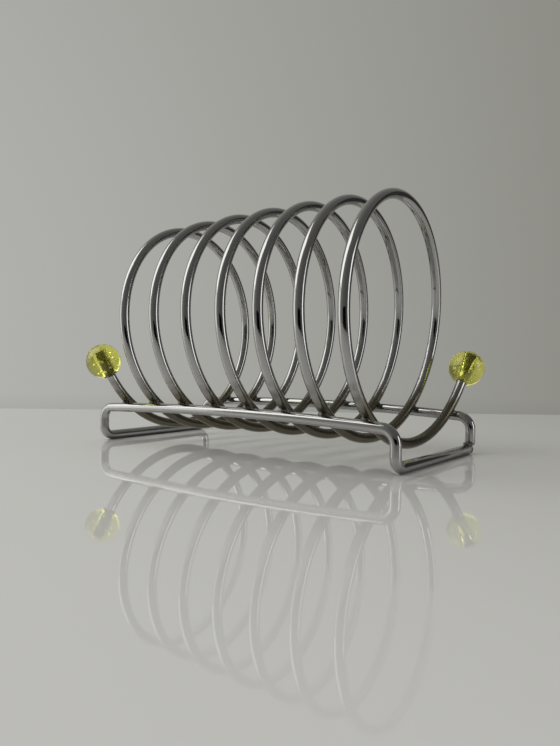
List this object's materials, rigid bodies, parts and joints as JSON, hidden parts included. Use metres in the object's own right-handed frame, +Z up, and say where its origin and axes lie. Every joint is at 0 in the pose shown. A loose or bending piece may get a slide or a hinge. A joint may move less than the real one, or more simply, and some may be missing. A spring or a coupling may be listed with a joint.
{
  "type": "toast rack",
  "caption": "Coiled wire rack that holds slices of toast upright between its turns, on a low bent-wire base, with a clear ball on each end of the coil.",
  "frame": {"origin": "middle of the footprint, on the table that the two crossbars rest on", "axes": "+X along the coil and the two rails, from the end whose ball is at the front to the end whose ball is at the rear; +Y to the rear; +Z up"},
  "size_m": [0.1581, 0.1065, 0.1067],
  "materials": {
    "chrome_wire": "polished chrome plate on steel wire",
    "weld_metal": "plated weld metal, slightly uneven",
    "green_glass": "clear yellow-green, glossy, crazed and bubbled inside",
    "clear_glue": "clear set glue with small bubbles"
  },
  "bodies": {
    "root": {"coil": "chrome_wire", "base_frame": "chrome_wire", "ball_left": "green_glass", "ball_right": "green_glass", "glue_left": "clear_glue", "glue_right": "clear_glue", "front_rail_welds": "weld_metal", "rear_rail_welds": "weld_metal", "base_closing_weld": "weld_metal"}
  },
  "joints": []
}
